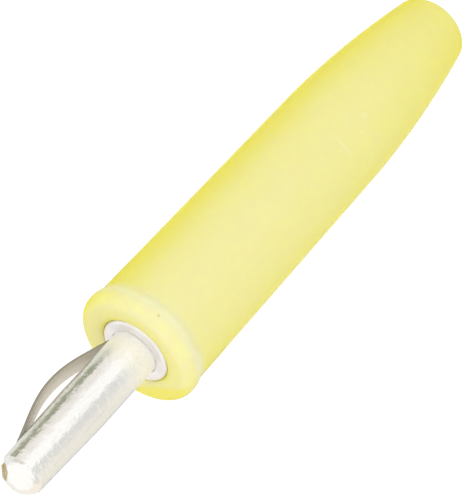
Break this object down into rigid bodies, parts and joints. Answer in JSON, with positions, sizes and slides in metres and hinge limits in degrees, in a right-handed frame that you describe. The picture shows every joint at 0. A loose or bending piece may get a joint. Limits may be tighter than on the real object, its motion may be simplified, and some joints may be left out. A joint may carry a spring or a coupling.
{
  "type": "banana plug",
  "caption": "Straight banana plug: a sprung round contact pin with a bowed leaf in its slot, held by a turned screw terminal in a soft tapered insulating sleeve.",
  "frame": {"origin": "centre of the flat cable end that the plug stands on", "axes": "+Z along the plug's axis from the cable end to the pin's tip; -Y is the side with the leaf spring and the clamp screw"},
  "size_m": [0.0104, 0.0104, 0.06],
  "materials": {
    "sleeve_plastic": "soft translucent yellow plastic, satin",
    "plated_terminal": "nickel plated",
    "plated_pin": "bright nickel plated, with turning marks",
    "spring_bronze": "dull spring bronze",
    "screw_steel": "zinc plated"
  },
  "bodies": {
    "sleeve": {"insulating_sleeve": "sleeve_plastic"},
    "contact": {"terminal_body": "plated_terminal", "contact_pin": "plated_pin"},
    "leaf": {"leaf_spring": "spring_bronze"},
    "screw": {"clamp_screw": "screw_steel"}
  },
  "joints": [
    {"name": "contact_pull", "type": "slide", "parent": "sleeve", "child": "contact", "axis": [0, 0, 1], "range_m": [0, 0.02]},
    {"name": "leaf_press", "type": "slide", "parent": "contact", "child": "leaf", "axis": [0, 1, 0], "range_m": [0, 0.0018], "stiffness_N_per_m": 3000, "deforming": ["leaf_spring"]},
    {"name": "screw_clamp", "type": "slide", "parent": "contact", "child": "screw", "axis": [0, 1, 0], "range_m": [0, 0.001]}
  ]
}
